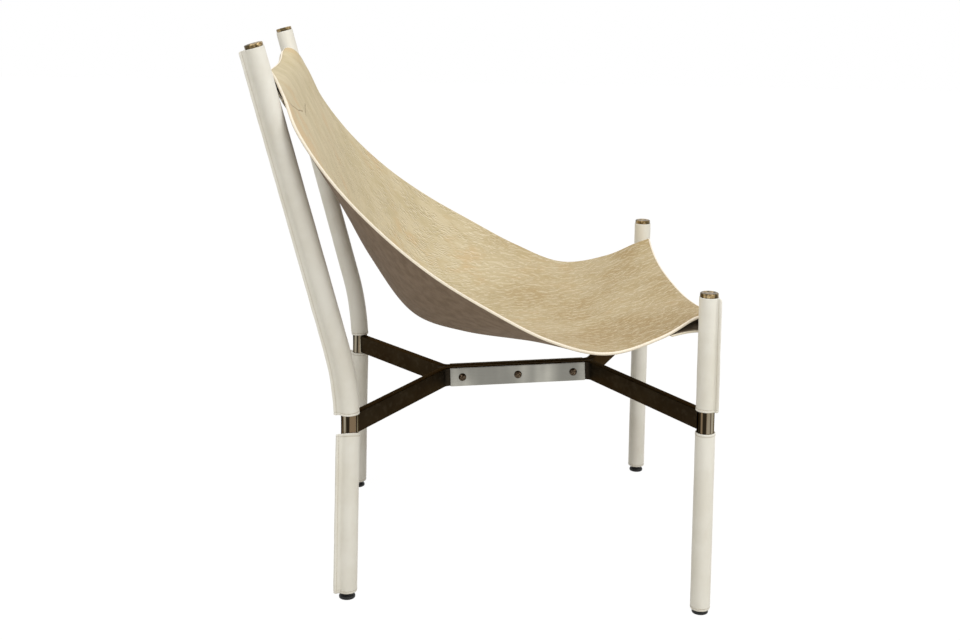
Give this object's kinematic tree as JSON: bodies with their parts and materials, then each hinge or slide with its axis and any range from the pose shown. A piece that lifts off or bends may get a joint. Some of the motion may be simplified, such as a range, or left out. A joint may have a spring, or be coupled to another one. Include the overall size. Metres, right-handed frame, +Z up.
{
  "type": "sling lounge chair",
  "caption": "Low lounge chair: a thick leather hide hung as a bucket seat from leather-wrapped steel posts, braced by a bolted flat-bar stretcher.",
  "frame": {"origin": "middle of the bounding box in plan, on the floor under the glides", "axes": "+Z up, the sitter faces -Y, the sitter's right is -X; symmetric about X = 0"},
  "size_m": [0.7136, 0.6927, 0.8176],
  "materials": {
    "tube_steel": "polished, worn, only bare at the collars",
    "cover_leather": "smooth off-white, hand stitched, satin",
    "aged_brass": "aged, mottled, satin",
    "zinc_steel": "plated, satin",
    "glide_plastic": "black, satin",
    "sling_suede": "rough flesh side, matt",
    "bronzed_steel": "dark bronzed, satin",
    "brushed_plate": "brushed along its length",
    "sling_hide": "tan grain side with fine short wrinkles, satin, rough underside and pale cut edge"
  },
  "bodies": {
    "chair": {"post_tube_front_right": "tube_steel", "upper_cover_front_right": "cover_leather", "lower_cover_front_right": "cover_leather", "top_cap_front_right": "aged_brass", "glide_insert_front_right": "zinc_steel", "sling_tab_front_right": "zinc_steel", "pocket_front_right": "sling_suede", "post_tube_front_left": "tube_steel", "upper_cover_front_left": "cover_leather", "lower_cover_front_left": "cover_leather", "top_cap_front_left": "aged_brass", "glide_insert_front_left": "zinc_steel", "sling_tab_front_left": "zinc_steel", "pocket_front_left": "sling_suede", "post_tube_rear_right": "tube_steel", "upper_cover_rear_right": "cover_leather", "lower_cover_rear_right": "cover_leather", "top_cap_rear_right": "aged_brass", "glide_insert_rear_right": "zinc_steel", "sling_tab_rear_right": "zinc_steel", "pocket_rear_right": "sling_suede", "post_tube_rear_left": "tube_steel", "upper_cover_rear_left": "cover_leather", "lower_cover_rear_left": "cover_leather", "top_cap_rear_left": "aged_brass", "glide_insert_rear_left": "zinc_steel", "sling_tab_rear_left": "zinc_steel", "pocket_rear_left": "sling_suede", "stretcher_bar_right": "bronzed_steel", "stretcher_bar_left": "bronzed_steel", "clamp_plate_right": "brushed_plate", "clamp_plate_left": "brushed_plate", "clamp_bolt_1": "aged_brass", "clamp_bolt_2": "aged_brass", "clamp_bolt_3": "aged_brass", "clamp_nut_1": "zinc_steel", "clamp_nut_2": "zinc_steel", "clamp_nut_3": "zinc_steel", "sling": "sling_hide"},
    "glide_front_right": {"glide_stud_front_right": "zinc_steel", "glide_pad_front_right": "glide_plastic"},
    "glide_front_left": {"glide_stud_front_left": "zinc_steel", "glide_pad_front_left": "glide_plastic"},
    "glide_rear_right": {"glide_stud_rear_right": "zinc_steel", "glide_pad_rear_right": "glide_plastic"},
    "glide_rear_left": {"glide_stud_rear_left": "zinc_steel", "glide_pad_rear_left": "glide_plastic"}
  },
  "joints": [
    {"name": "glide_screw_front_right", "type": "slide", "parent": "chair", "child": "glide_front_right", "axis": [0, 0, -1], "range_m": [-0.002, 0.01]},
    {"name": "glide_screw_front_left", "type": "slide", "parent": "chair", "child": "glide_front_left", "axis": [0, 0, -1], "range_m": [-0.002, 0.01]},
    {"name": "glide_screw_rear_right", "type": "slide", "parent": "chair", "child": "glide_rear_right", "axis": [0, 0, -1], "range_m": [-0.002, 0.01]},
    {"name": "glide_screw_rear_left", "type": "slide", "parent": "chair", "child": "glide_rear_left", "axis": [0, 0, -1], "range_m": [-0.002, 0.01]}
  ]
}
